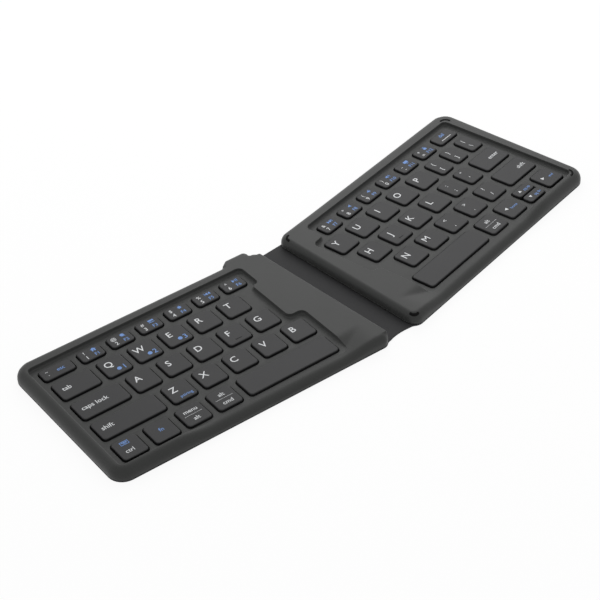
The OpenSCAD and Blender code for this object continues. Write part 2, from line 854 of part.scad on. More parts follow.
key_group(1, concat(SIDE_ARROWS, HALF_ARROWS));  // arrow_keys
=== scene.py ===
import functools
import math

import bmesh
import bpy
import numpy as np
from mathutils import Euler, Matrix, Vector
from mathutils.geometry import delaunay_2d_cdt


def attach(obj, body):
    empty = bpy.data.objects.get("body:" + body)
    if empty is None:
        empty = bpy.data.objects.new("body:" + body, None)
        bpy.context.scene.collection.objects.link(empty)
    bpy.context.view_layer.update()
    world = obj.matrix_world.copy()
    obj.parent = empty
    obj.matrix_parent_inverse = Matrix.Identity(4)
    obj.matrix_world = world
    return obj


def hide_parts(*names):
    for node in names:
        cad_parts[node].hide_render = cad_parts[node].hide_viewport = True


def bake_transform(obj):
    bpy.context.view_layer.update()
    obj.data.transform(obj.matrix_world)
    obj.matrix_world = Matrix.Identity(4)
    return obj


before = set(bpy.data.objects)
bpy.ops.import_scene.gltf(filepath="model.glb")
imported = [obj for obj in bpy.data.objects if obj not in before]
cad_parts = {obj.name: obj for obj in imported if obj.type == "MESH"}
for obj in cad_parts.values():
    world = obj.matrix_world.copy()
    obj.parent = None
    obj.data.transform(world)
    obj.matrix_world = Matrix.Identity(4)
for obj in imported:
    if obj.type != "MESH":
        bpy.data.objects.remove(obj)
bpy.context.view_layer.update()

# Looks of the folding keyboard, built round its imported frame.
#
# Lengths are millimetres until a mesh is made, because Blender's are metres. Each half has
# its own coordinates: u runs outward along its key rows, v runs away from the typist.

MM = 0.001
LEFT, RIGHT = -1, 1
SIDE_NAME = {LEFT: "left", RIGHT: "right"}

# Camera: the photograph's viewpoint, in millimetres and degrees
CAMERA_AT = (-478.65, -513.84, 556.43)
CAMERA_TURN = (51.1887, 2.2336, -43.9117)
CAMERA_LENS = 109.34
CAMERA_SENSOR = 36.0
CAMERA_CLIP = 10.0

# Light: the white world's strength where it lights, and each lamp's name, its place, aim and
# size in metres, and its power in watts
WORLD_LEVEL = 0.62
LAMPS = [("window_light", (0.38, 0.38, 0.38), (0.05, 0.0, 0.0), (0.5, 0.4), 1.2)]

# Floor, in metres: to the camera its paper is mostly a white glow, which keeps a soft shadow
FLOOR_HALF = 6.0
PAPER_TONE = (0.8, 0.8, 0.8, 1)
PAPER_ROUGH = 0.9
FLOOR_GLOW = 0.85
GLOW_LEVEL = 1.06

# Materials: the broad grain's size over the fine one's, the fine one's share, and how far the
# tone and the roughness stray
BROAD_GRAIN = 60
FINE_SHARE = 0.6
MOTTLE = 0.06
ROUGH_SPREAD = 0.06

# Points nearer to a line than this lie on it
ON_LINE = 0.001

# Halves: splay, how far each corner lies from the frame's (outer rear, inner rear, inner
# front, outer front), the corners' radii, the spacing of the points between them, the shells'
# wall and roof, and the hollow under the land: its distance from the wall and its corners
SPLAY = math.radians(7)
CORNER_SHIFT = {LEFT: [(-0.6, -0.1), (0, -0.8), (0, -0.3), (-0.25, 0.8)],
                RIGHT: [(1.6, 0.3), (0, -0.3), (0, -0.8), (-0.5, 0)]}
OUTER_CORNER = 8.0
INNER_CORNER = {LEFT: 4.0, RIGHT: 5.5}
OUTLINE_GAP = 2.0
WALL = 2.0
ROOF = 1.3
ROOM_MARGIN = 1.0
ROOM_R = 0.5

# Rounding of a shell's top edge: its width at the outer end, at the fold and on the rear and
# front edges beside the fold, its height over its width, the start and length in u of its
# widening, and the straight height that it leaves
OUTER_ROUND = 4.1
FOLD_ROUND = {LEFT: 1.0, RIGHT: 3.5}
END_ROUND = 3.4
ROUND_TALL = 1.15
ROUND_FROM = 10.0
ROUND_WITHIN = 35.0
STRAIGHT_SIDE = 0.7
EDGE_STEPS = 10

# Rounding of its bottom edge, wider along the fold
SHELL_FOOT = 0.2
FOLD_FOOT = 1.0

# Where the roundings change, as start and length of a ramp: over an edge's turn to the rear or
# front, over its turn to the fold, and over the distance out from the rear edge to the boss
END_TURN = (0.1, 0.5)
FOLD_TURN = (0.3, 0.5)
BOSS_RISE = (-0.4, 1.2)

# Boss round the charging port: how far it stands out at least, where its corners lie along u
# from its outer and inner ends, their radii, and its top edge's rounding, wide and high
BOSS_MARGIN = 0.3
BOSS_OUTER = (3.0, -1.0)
BOSS_INNER = (0.9, -0.1)
BOSS_RADII = [3.0, 2.3, 2.3, 1.0]
BOSS_ROUND = (2.2, 1.3)

# Opening for the charging port: size, radius of its ends, depth, and how far outside the
# cutter starts
PORT_ROOM = (9.1, 3.4)
PORT_R = 1.65
PORT_DEEP = 7.3
CUTTER_OUT = 1.0

# Sunken key deck: depth and thickness, gaps from the key tops to its walls, and the walls'
# corners, soft upper edge, round foot and lean
DECK_DEPTH = 2.0
DECK_T = 0.8
WELL_GAP = 4.0
WELL_FRONT_GAP = 2.4
WELL_R = 3.0
WELL_BROW = 0.22
WELL_FOOT = 1.2
WELL_DRAFT = 0.2
BROW_STEPS = 4
FOOT_STEPS = 7
OPENING_SOFT = 0.14

# Thumb scoop in the front rim: its end's distance from the outer edge, its start in u, the
# length of its ramps, and how far it runs out behind the deck's front wall
SCOOP_OUTER = 55.0
SCOOP_INNER = 28.0
SCOOP_RAMP = 20.0
SCOOP_BACK = 10.0

# Points on the land beside the fold: their grid, its start along u, and the bare edge
LAND_GRID = 1.5
LAND_FROM = 2.0
LAND_EDGE = 0.8

# Keys: how far a skirt flares past the top, the gap round it, its corners, wall, foot and
# lean, and the width and height of the top's soft edge
KEY_FLARE = 0.4
KEY_CLEAR = 0.3
KEY_R = 2.0
KEY_WALL = 0.9
KEY_FOOT = 0.12
KEY_LEAN = 0.34
KEY_SOFT = 0.42
KEY_SOFT_DEEP = 0.38
KEY_STEPS = 5

# What tells the rows apart: a letter key is deeper than the first, an arrow key of half size
# less deep than the second, and the number row more than the third behind the letters
LETTER_DEPTH = 10.0
HALF_DEPTH = 8.0
ROW_APART = 5.0

# Bar on the F and J keys: its size, its ends' radius, its distance from the key top's front
# edge, the width of its soft edge, and its depth in the key
HOME_BAR = (3.4, 0.7, 0.2)
HOME_BAR_R = 0.34
HOME_BAR_FROM_FRONT = 2.6
HOME_BAR_SOFT = 0.28
HOME_BAR_SUNK = 0.1
HOME_BAR_STEPS = 3

# Printed marks: thickness, height of their middle over the key, and growth of the strokes
LEGEND_DEEP = 0.05
LEGEND_PROUD = 0.02
LEGEND_BOLD = 0.006
LEGEND_STEPS = 3

# Spine and covers: thickness, rounding below and above, the fillets at the spine's two ends,
# how near the fold and how far turned an outline's corner point is, and how far the spine's
# front edge curves in
REAR, FRONT = 1, -1
COVER_T = 1.0
COVER_FOOT = 0.6
COVER_BROW = 0.18
COVER_FOOT_STEPS = 4
COVER_BROW_STEPS = 3
NOTCH_R = {REAR: 2.0, FRONT: 5.0}
NOTCH_POINTS = 9
NOTCH_WITHIN = 6.0
NOTCH_TURN = 0.3
FRONT_SAG = 0.75

# Points of the skin where it bends: their spacing across and along the spine, their reach from
# its middle, and how far they keep from the outline and from the fillets
BEND_GRID = (0.5, 4.0)
BEND_REACH = (13.0, 70.0)
BEND_EDGE = 1.0
STRIP_EDGE = 0.2
SEAM_POINTS = 24

# Bumpers in the right half's corners, in the order of CORNER_SHIFT: width, shift in u and v,
# distance from each corner's edge, the turn that they span and their soft edge
BUMPER_W = 1.1
BUMPER_SHIFT = (-1.2, -1.1)
BUMPER_IN = (4.8, 3.0, 3.0, 4.8)
BUMPER_SPAN = math.radians(96)
BUMPER_SOFT = 0.25
BUMPER_POINTS = 13
BUMPER_END_POINTS = 8
BUMPER_STEPS = 4


# -------------------- half coordinates

def to_half(points, side):
    """Points of the frame, in metres, as a half's u, v and z in millimetres."""
    x, y, z = np.asarray(points, float).T / MM
    x = x * side
    return np.stack([x * math.cos(SPLAY) + y * math.sin(SPLAY),
                     y * math.cos(SPLAY) - x * math.sin(SPLAY), z], 1)


def to_frame(points, side):
    """Points in a half's u, v and z as points of the frame, still in millimetres."""
    u, v, z = np.asarray(points, float).T
    return np.stack([side * (u * math.cos(SPLAY) - v * math.sin(SPLAY)),
                     u * math.sin(SPLAY) + v * math.cos(SPLAY), z], 1)


def node_points(node):
    return np.array([v.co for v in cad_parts[node].data.vertices], float)


def solids(node, side):
    """Lowest and highest corner of each separate solid of a node, in half coordinates.
    Points at one place are one, and each takes the lowest number among its neighbours."""
    points = to_half(node_points(node), side)
    edges = np.array([e.vertices[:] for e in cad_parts[node].data.edges])
    same = np.unique(np.round(points, 3), axis=0, return_inverse=True)[1].ravel()
    group = np.arange(same.max() + 1)
    a, b = same[edges].T
    before = None
    while before is None or (group != before).any():
        before = group.copy()
        low = np.minimum(group[a], group[b])
        np.minimum.at(group, a, low)
        np.minimum.at(group, b, low)
        group = group[group]
    label = group[same]
    return [(points[label == g].min(0), points[label == g].max(0)) for g in np.unique(label)]


# -------------------- measured from the frame

COVER = to_half(node_points("right_back_cover"), RIGHT)
OUTER_U, REAR_V, FRONT_V = COVER[:, 0].max(), COVER[:, 1].max(), COVER[:, 1].min()
WALL_X = node_points("right_back_cover")[:, 0].min() / MM
RIM_Z = node_points("right_top_shell")[:, 2].max() / MM
SHELL_Z = node_points("right_top_shell")[:, 2].min() / MM
DECK_Z = RIM_Z - DECK_DEPTH
CEILING_Z = DECK_Z - DECK_T

KEY_NODES = [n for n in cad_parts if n.startswith("key_") or n.endswith(("_keys", "_bar"))]
KEY_NODES.append("enter_key")


class Key:
    """A key, measured at its skirt: node, side, middle (u, v), width, depth, heights."""

    def __init__(self, node, side, low, high):
        self.node = node
        self.side = side
        self.u, self.v = (low[:2] + high[:2]) / 2
        self.w, self.d = (high - low)[:2]
        self.bottom, self.top = low[2], high[2]


def find_keys():
    """All keys in reading order. The bars on F and J make those two taller, so every top is
    put at the lowest one's height."""
    keys = []
    for node in KEY_NODES:
        side = LEFT if node_points(node)[:, 0].mean() < 0 else RIGHT
        keys += [Key(node, side, low, high) for low, high in solids(node, side)]
    top = min(k.top for k in keys)
    for k in keys:
        k.top = top
    return sorted(keys, key=lambda k: (-round(k.v), k.side * k.u))


KEYS = find_keys()


def fold_u(x, v):
    """u of the point at v whose distance from the fold's middle line is x."""
    return (x + v * math.sin(SPLAY)) / math.cos(SPLAY)


# -------------------- contours

def unit(a):
    return a / np.linalg.norm(a)


def ramp(value, start, length):
    """A smooth rise from 0 at start to 1 where its length ends."""
    t = np.clip((value - start) / length, 0, 1)
    return t * t * (3 - 2 * t)


def quarter(steps):
    """Pairs of a sine and 1 less a cosine over a quarter turn, without its start."""
    angles = [math.pi / 2 * k / steps for k in range(1, steps + 1)]
    return [(math.sin(a), 1 - math.cos(a)) for a in angles]


def contour(corners, radii, gap=3.0, steps=8):
    """Points and outward normals round an anticlockwise polygon with rounded corners. gap is
    the spacing on its straight sides, and steps the number of pieces round a corner."""
    corners = [np.array(c, float) for c in corners]
    count = len(corners)
    arcs = []
    for i, b in enumerate(corners):
        way_in = unit(b - corners[i - 1])
        way_out = unit(corners[(i + 1) % count] - b)
        turn = math.atan2(way_in[0] * way_out[1] - way_in[1] * way_out[0], way_in @ way_out)
        bulge = math.copysign(radii[i], turn)
        normal = np.array([way_in[1], -way_in[0]])
        centre = b - way_in * radii[i] * math.tan(abs(turn) / 2) - normal * bulge
        angles = turn * np.arange(steps + 1) / steps
        facing = np.outer(np.cos(angles), normal) + np.outer(np.sin(angles), way_in)
        arcs.append((centre + facing * bulge, facing))
    points, normals = [], []
    for i, (arc, facing) in enumerate(arcs):
        start, end = arc[-1], arcs[(i + 1) % count][0][0]
        pieces = max(1, round(np.linalg.norm(end - start) / gap))
        points += [*arc] + [start + (end - start) * k / pieces for k in range(1, pieces)]
        normals += [*facing] + [facing[-1]] * (pieces - 1)
    return np.array(points), np.array(normals)


def within(points, edges):
    """Which points lie in the area that the edges close off, less its holes."""
    x, y = np.asarray(points, float).T[:, :, None]
    (x0, y0), (x1, y1) = np.array(edges).transpose(1, 2, 0)
    crosses = (y0 > y) != (y1 > y)
    at = x0 + (y - y0) * (x1 - x0) / np.where(y1 == y0, 1, y1 - y0)
    return (crosses & (x < at)).sum(1) % 2 == 1


def edges_of(outline):
    return list(zip(outline, np.roll(outline, -1, 0)))


def grid_within(us, vs, outline, gap, holes=()):
    """Points of a grid that lie in an outline, and gap or more from it and its holes."""
    grid = np.array([(u, v) for u in us for v in vs])
    rims = [outline] + list(holes)
    near = np.linalg.norm(grid[:, None] - np.concatenate(rims)[None], axis=2).min(1)
    kept = within(grid, [e for rim in rims for e in edges_of(rim)])
    return grid[kept & (near > gap)]


def bar(left, low, right, high):
    return [(left, low), (right, low), (right, high), (left, high)]


def rectangle(u, v, w, d, r, steps=6):
    """Contour of a rectangle with round corners, around its middle."""
    corners = bar(u - w / 2, v - d / 2, u + w / 2, v + d / 2)
    return contour(corners, [r] * 4, gap=max(w, d), steps=steps)


# -------------------- meshes

class Build:
    """Vertices and faces gathered before a mesh is made, with a material slot per face."""

    def __init__(self):
        self.points = []
        self.faces = []
        self.slots = []

    def ring(self, flat, z):
        """Adds points at heights z, one for all or one each, and gives their numbers."""
        first = len(self.points)
        heights = np.broadcast_to(z, len(flat))
        self.points += [(p[0], p[1], h) for p, h in zip(flat, heights)]
        return list(range(first, len(self.points)))

    def brow(self, flat, normal, top, wide, tall, steps, inset=0):
        """Rings of a soft edge that rises to top as it draws in from inset."""
        return [self.ring(flat - normal * (inset + wide * rest), top - tall * (1 - sine))
                for sine, rest in quarter(steps)]

    def flat(self, numbers):
        """The first two coordinates of the points with these numbers."""
        return np.array([self.points[i][:2] for i in numbers])

    def face(self, numbers, slot=0):
        self.faces.append(tuple(numbers))
        self.slots.append(slot)

    def loft(self, rings, slot=0):
        """Walls between closed rings that have as many points each."""
        for low, high in zip(rings, rings[1:]):
            for i in range(len(low)):
                j = (i + 1) % len(low)
                self.face((low[i], low[j], high[j], high[i]), slot)

    def fill(self, loops, inside=(), slot=0):
        """Triangles within the first loop, outside the others, through the points inside."""
        numbers = [i for loop in loops for i in loop] + list(inside)
        flat = self.flat(numbers)
        edges = []
        start = 0
        for loop in loops:
            n = len(loop)
            edges += [(start + k, start + (k + 1) % n) for k in range(n)]
            start += n
        inside_only, merge_distance = 1, 1e-6
        _, _, made, sources, _, _ = delaunay_2d_cdt([Vector(p) for p in flat], edges, [],
                                                    inside_only, merge_distance)
        triangles = np.array([[sources[i][0] for i in t] for t in made])
        kept = within(flat[triangles].mean(1), flat[np.array(edges)])
        for triangle in triangles[kept]:
            self.face([numbers[i] for i in triangle], slot)


def add_object(name, data):
    made = bpy.data.objects.new(name, data)
    bpy.context.scene.collection.objects.link(made)
    return made


def make_piece(name, build, side, materials, weld=0.0005):
    """A smooth mesh object from a build in half coordinates, or in the frame's for side 0.
    Points nearer than weld, in millimetres, become one."""
    points = to_frame(build.points, side) if side else np.array(build.points)
    mesh = bpy.data.meshes.new(name)
    mesh.from_pydata((points * MM).tolist(), [], build.faces)
    mesh.polygons.foreach_set("material_index", build.slots)
    made = bmesh.new()
    made.from_mesh(mesh)
    bmesh.ops.remove_doubles(made, verts=made.verts, dist=weld * MM)
    bmesh.ops.recalc_face_normals(made, faces=made.faces)
    for f in made.faces:
        f.smooth = True
    made.to_mesh(mesh)
    made.free()
    piece = add_object(name, mesh)
    for m in materials:
        mesh.materials.append(m)
    piece.modifiers.new("even_normals", "WEIGHTED_NORMAL")
    return piece


# -------------------- materials

def linear(seen):
    """Linear value of a colour channel that is seen as 0 to 255."""
    c = seen / 255
    return c / 12.92 if c <= 0.04045 else ((c + 0.055) / 1.055) ** 2.4


def maths(nodes, links, operation, *values):
    """Output of a maths node whose inputs are numbers or other nodes' outputs."""
    made = nodes.new("ShaderNodeMath")
    made.operation = operation
    for socket, value in zip(made.inputs, values):
        if isinstance(value, bpy.types.NodeSocket):
            links.new(value, socket)
        else:
            socket.default_value = value
    return made.outputs[0]


def moulded(name, seen, roughness, grain, grain_depth, metallic=0.0, specular=0.5, sheen=0.0):
    """Material with a fine surface grain, a soft change of tone, and uneven roughness. seen
    is its colour as it is seen, from 0 to 255. grain is the size of its finest marks and
    grain_depth their height, in millimetres."""
    made = bpy.data.materials.new(name)
    made.use_nodes = True
    nodes, links = made.node_tree.nodes, made.node_tree.links
    shader = nodes["Principled BSDF"]
    shader.inputs["Metallic"].default_value = metallic
    shader.inputs["Specular IOR Level"].default_value = specular
    shader.inputs["Sheen Weight"].default_value = sheen
    place = nodes.new("ShaderNodeTexCoord")

    def noise(size, detail):
        texture = nodes.new("ShaderNodeTexNoise")
        texture.inputs["Scale"].default_value = 1 / (size * MM)
        texture.inputs["Detail"].default_value = detail
        links.new(place.outputs["Object"], texture.inputs["Vector"])
        return texture.outputs["Fac"]

    fine, broad = noise(grain, 3), noise(grain * BROAD_GRAIN, 2)
    both = maths(nodes, links, "MULTIPLY_ADD", fine, FINE_SHARE,
                 maths(nodes, links, "MULTIPLY", broad, 1 - FINE_SHARE))
    mix = nodes.new("ShaderNodeMix")
    mix.data_type = "RGBA"
    mix.inputs["A"].default_value = [linear(c) * (1 - MOTTLE) for c in seen] + [1]
    mix.inputs["B"].default_value = [linear(c) * (1 + MOTTLE) for c in seen] + [1]
    links.new(both, mix.inputs["Factor"])
    links.new(mix.outputs["Result"], shader.inputs["Base Color"])
    rough = nodes.new("ShaderNodeMapRange")
    rough.inputs["To Min"].default_value = roughness - ROUGH_SPREAD
    rough.inputs["To Max"].default_value = roughness + ROUGH_SPREAD
    links.new(both, rough.inputs["Value"])
    links.new(rough.outputs["Result"], shader.inputs["Roughness"])
    bump = nodes.new("ShaderNodeBump")
    bump.inputs["Strength"].default_value = 1.0
    bump.inputs["Distance"].default_value = grain_depth * MM
    links.new(fine, bump.inputs["Height"])
    links.new(bump.outputs["Normal"], shader.inputs["Normal"])
    return made


SHELL = moulded("shell_plastic", (48, 49, 48), 0.48, 0.22, 0.008, specular=0.25, sheen=0.15)
KEY_TOP = moulded("key_top_plastic", (55, 55, 56), 0.5, 0.2, 0.006, specular=0.22)
# Painted shade: keycap sides and undersides are near-black to stand in for their shadow
KEY_SIDE_SHADE = moulded("key_side_painted_shade", (14, 14, 15), 0.5, 0.2, 0.004, specular=0.15)
SKIN = moulded("cover_skin", (58, 58, 59), 0.7, 0.3, 0.02, specular=0.2)
RUBBER = moulded("bumper_rubber", (14, 14, 14), 0.75, 0.25, 0.01, specular=0.1)
TRAY = moulded("tray_plastic", (50, 50, 52), 0.5, 0.25, 0.008)
STEEL = moulded("plate_steel", (150, 152, 155), 0.35, 0.4, 0.003, metallic=1.0)
FILM = moulded("membrane_film", (60, 64, 66), 0.3, 0.5, 0.002)
DOMES = moulded("dome_rubber", (60, 62, 62), 0.6, 0.3, 0.004)
LEVERS = moulded("lever_plastic", (40, 40, 40), 0.4, 0.25, 0.004)
MAGNET = moulded("magnet_metal", (170, 170, 172), 0.25, 0.3, 0.002, metallic=1.0)
BOARD = moulded("circuit_board", (24, 78, 44), 0.4, 0.3, 0.006)
FOIL = moulded("battery_foil", (180, 182, 186), 0.3, 0.6, 0.01, metallic=0.9)
PORT = moulded("port_metal", (190, 192, 195), 0.28, 0.3, 0.002, metallic=1.0)
RIBBON = moulded("ribbon_film", (170, 98, 30), 0.35, 0.4, 0.002)
WHITE_INK = moulded("legend_white", (236, 238, 240), 0.6, 0.15, 0.002)
BLUE_INK = moulded("legend_blue", (116, 156, 220), 0.6, 0.15, 0.002)

CAD_LOOKS = {
    "bottom_shell": TRAY, "support_plate": STEEL, "membrane": FILM, "dome_sheet": DOMES,
    "scissor_frames": LEVERS, "magnets": MAGNET, "main_board": BOARD, "link_board": BOARD,
    "battery": FOIL, "charging_port": PORT, "cable_end": RIBBON, "flex_cable": RIBBON,
}


def dress_cad_nodes():
    """Gives the CAD nodes that show as they are their materials."""
    for name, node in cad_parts.items():
        for part, look in CAD_LOOKS.items():
            if name.endswith(part):
                node.data.materials.clear()
                node.data.materials.append(look)


# -------------------- shells

def rim_height(points):
    """Height of the rim's top over points in u and v: lower in the thumb scoop."""
    u, v = points[:, 0], points[:, 1]
    away = np.maximum(SCOOP_INNER - u, u - (OUTER_U - SCOOP_OUTER))
    well_front = row_front() - WELL_FRONT_GAP
    full = np.maximum(ramp(away, 0, SCOOP_RAMP), ramp(v, well_front, SCOOP_BACK))
    return DECK_Z + DECK_DEPTH * full


def row_front():
    """v of the front of the space bar row's key tops."""
    return min(k.v - k.d / 2 for k in KEYS) + KEY_FLARE


def half_corners(side):
    """Corners of a half's outline: outer rear, inner rear, inner front and outer front."""
    shifts = CORNER_SHIFT[side]
    rear, front = REAR_V + shifts[1][1], FRONT_V + shifts[2][1]
    return [(OUTER_U + shifts[0][0], REAR_V + shifts[0][1]), (fold_u(WALL_X, rear), rear),
            (fold_u(WALL_X, front), front), (OUTER_U + shifts[3][0], FRONT_V + shifts[3][1])]


def rear_edge(u, side):
    """v of a half's rear edge at u, without the boss."""
    (outer, v_outer), (inner, v_inner) = half_corners(side)[:2]
    return v_inner + (v_outer - v_inner) * (u - inner) / (outer - inner)


def corner_radii(side):
    return [OUTER_CORNER, INNER_CORNER[side], INNER_CORNER[side], OUTER_CORNER]


def corner_centre(number, r):
    """Centre of a circle of radius r that touches both edges at a corner of the right half,
    and the direction from it to the corner."""
    corners = [np.array(c) for c in half_corners(RIGHT)]
    here = corners[number]
    a = unit(corners[number - 1] - here)
    b = unit(corners[(number + 1) % len(corners)] - here)
    half_angle = math.acos(a @ b) / 2
    return here + unit(a + b) * r / math.sin(half_angle), -unit(a + b)


def boss_span():
    """Inner and outer end, in u, and rear face, in v, of the boss round the port."""
    shell = to_half(node_points("left_top_shell"), LEFT)
    boss = shell[shell[:, 1] > REAR_V + BOSS_MARGIN]
    return boss[:, 0].min(), boss[:, 0].max(), boss[:, 1].max()


def shell_contour(side):
    """Outline of a top shell, with the boss round the charging port on the left one."""
    corners, radii = half_corners(side), corner_radii(side)
    if side == LEFT:
        inner, outer, rear = boss_span()
        outer_foot, outer_top = (outer + shift for shift in BOSS_OUTER)
        inner_top, inner_foot = (inner + shift for shift in BOSS_INNER)
        corners[1:1] = [(outer_foot, rear_edge(outer_foot, side)), (outer_top, rear),
                        (inner_top, rear), (inner_foot, rear_edge(inner_foot, side))]
        radii[1:1] = BOSS_RADII
    return contour(corners, radii, gap=OUTLINE_GAP)


def edge_rounding(points, out, side):
    """Width and height of the top edge's rounding: from the fold's to the outer end's, nearly
    as much where the edge faces the rear or the front, and less at the boss."""
    end = ramp(np.abs(out[:, 1]), *END_TURN)
    start = FOLD_ROUND[side] + max(0, END_ROUND - FOLD_ROUND[side]) * end
    radius = start + (OUTER_ROUND - start) * ramp(points[:, 0], ROUND_FROM, ROUND_WITHIN)
    boss = ramp(points[:, 1] - rear_edge(points[:, 0], side), *BOSS_RISE)
    wide = radius + (BOSS_ROUND[0] - radius) * boss
    tall = radius * ROUND_TALL * (1 - boss) + BOSS_ROUND[1] * boss
    return wide, np.minimum(tall, RIM_Z - SHELL_Z - STRAIGHT_SIDE)


def key_rows(side):
    """A half's keys, its letter rows' v from the rear on, and the keys of its number row."""
    keys = [k for k in KEYS if k.side == side]
    rows = sorted({round(k.v, 1) for k in keys if k.d > LETTER_DEPTH}, reverse=True)
    return keys, rows, [k for k in keys if k.v > rows[0] + ROW_APART]


def inner_ends(side):
    """Inner ends of the number row, the two upper letter rows and the two lower rows."""
    keys, rows, number_row = key_rows(side)
    groups = [number_row] + [[k for k in keys if round(k.v, 1) in some]
                             for some in (rows[:2], rows[2:])]
    return [min(k.u - k.w / 2 for k in group) + KEY_FLARE for group in groups]


def well_contour(side):
    """Outline of the sunken key deck, with a step where a row ends nearer the fold."""
    keys, rows, number_row = key_rows(side)
    half_key = (max(k.d for k in keys) - 2 * KEY_FLARE) / 2
    ends = inner_ends(side)
    inner = [e - WELL_GAP for e in ends]
    outer = max(k.u + k.w / 2 for k in keys) - KEY_FLARE + WELL_GAP
    rear = max(k.v + k.d / 2 for k in keys) - KEY_FLARE + WELL_GAP
    number_front = min(k.v - k.d / 2 for k in number_row) + KEY_FLARE
    upper = number_front - WELL_GAP if ends[0] < ends[1] else rows[0] + half_key + WELL_GAP
    lower = rows[2] + half_key + WELL_GAP if ends[2] < ends[1] else rows[1] - half_key - WELL_GAP
    front = row_front() - WELL_FRONT_GAP
    corners = [(outer, rear), (inner[0], rear), (inner[0], upper), (inner[1], upper),
               (inner[1], lower), (inner[2], lower), (inner[2], front), (outer, front)]
    step = [min(WELL_R, abs(inner[0] - inner[1]) / 2), min(WELL_R, abs(inner[1] - inner[2]) / 2)]
    radii = [WELL_R, WELL_R, step[0], step[0], step[1], step[1], WELL_R, WELL_R]
    return contour(corners, radii)


def openings(side):
    """Rectangles of the deck's key openings; the two arrow keys of half size share one."""
    keys = [k for k in KEYS if k.side == side]
    halves = [k for k in keys if k.node == "arrow_keys" and k.d < HALF_DEPTH]
    groups = [[k] for k in keys if k not in halves] + ([halves] if halves else [])
    cells = []
    for group in groups:
        low = min(k.v - k.d / 2 for k in group) - KEY_CLEAR
        high = max(k.v + k.d / 2 for k in group) + KEY_CLEAR
        cells.append((group[0].u, (low + high) / 2, group[0].w + 2 * KEY_CLEAR, high - low))
    return cells


def room_contour(side):
    """Outline of the hollow under a half's land, beside the fold."""
    wall = WALL + ROOM_MARGIN
    edge = min(inner_ends(side)) - WELL_GAP - ROOF
    rear = half_corners(side)[1][1] - wall
    front = row_front() - WELL_FRONT_GAP + WELL_R + ROOF
    return contour([(edge, rear), (fold_u(WALL_X + wall, rear), rear),
                    (fold_u(WALL_X + wall, front), front), (edge, front)], [ROOM_R] * 4)[0]


def outer_walls(build, side):
    """Inner face, foot, side and rounded top edge; gives the lowest and the highest ring."""
    outline, out = shell_contour(side)
    stretch = (rim_height(outline) - SHELL_Z) / (RIM_Z - SHELL_Z)
    wide, tall = edge_rounding(outline, out, side)

    def side_ring(inset, z):
        inset = np.broadcast_to(inset, len(outline))
        return build.ring(outline - out * inset[:, None], SHELL_Z + (z - SHELL_Z) * stretch)

    # The inner face reaches up to the ceiling, and runs straight past the boss
    rear = rear_edge(outline[:, 0], side)
    inner = np.where(outline[:, 1:] > rear[:, None] - ON_LINE,
                     np.column_stack([outline[:, 0], rear - WALL]), outline - out * WALL)
    foot = SHELL_FOOT + (FOLD_FOOT - SHELL_FOOT) * ramp(-out[:, 0], *FOLD_TURN)
    rings = [build.ring(inner, CEILING_Z), build.ring(inner, SHELL_Z), side_ring(foot, SHELL_Z),
             side_ring(0, SHELL_Z + foot), side_ring(0, RIM_Z - tall)]
    for sine, rest in quarter(EDGE_STEPS):
        rings.append(side_ring(wide * rest, RIM_Z - tall * (1 - sine)))
    build.loft(rings)
    return rings[0], rings[-1]


def well_walls(build, side):
    """Walls of the sunken deck; gives the ring on the rim and the one on the deck."""
    well, away = well_contour(side)
    rim = rim_height(well)

    def well_ring(offset, share):
        return build.ring(well + away * offset, DECK_Z + (rim - DECK_Z) * share)

    walls = [well_ring(WELL_BROW, 1)]
    for sine, rest in quarter(BROW_STEPS):
        walls.append(well_ring(WELL_BROW * (1 - sine), 1 - rest * WELL_BROW / DECK_DEPTH))
    for sine, rest in [(0, 0)] + quarter(FOOT_STEPS):
        walls.append(well_ring(-WELL_DRAFT - WELL_FOOT * rest,
                               WELL_FOOT / DECK_DEPTH * (1 - sine)))
    build.loft(walls)
    return walls[0], walls[-1]


def key_openings(build, side):
    """Walls of the key openings; gives their rings on the deck and on its underside."""
    holes, under = [], []
    for u, v, w, d in openings(side):
        flat, normal = rectangle(u, v, w, d, KEY_R + KEY_CLEAR)
        opening = [build.ring(flat + normal * OPENING_SOFT, DECK_Z),
                   build.ring(flat, DECK_Z - OPENING_SOFT), build.ring(flat, CEILING_Z)]
        build.loft(opening)
        holes.append(opening[0])
        under.append(opening[-1])
    return holes, under


def top_shell(side):
    build = Build()
    inner_top, top_edge = outer_walls(build, side)
    well_edge, deck_edge = well_walls(build, side)
    land = grid_within(np.arange(LAND_FROM, SCOOP_INNER, LAND_GRID),
                       np.arange(FRONT_V, row_front() + SCOOP_BACK, LAND_GRID),
                       build.flat(top_edge), LAND_EDGE, [build.flat(well_edge)])
    build.fill([top_edge, well_edge], build.ring(land, rim_height(land)))

    holes, under = key_openings(build, side)
    room = [build.ring(room_contour(side), z) for z in (CEILING_Z, RIM_Z - ROOF)]
    build.loft(room)
    build.fill([room[1]])
    build.fill([deck_edge] + holes)
    build.fill([inner_top, room[0]] + under)

    name = SIDE_NAME[side] + "_top_shell"
    shell = make_piece(name + "_skin", build, side, [SHELL])
    if side == LEFT:
        cut_port(shell)
    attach(shell, SIDE_NAME[side] + "_half")
    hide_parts(name)


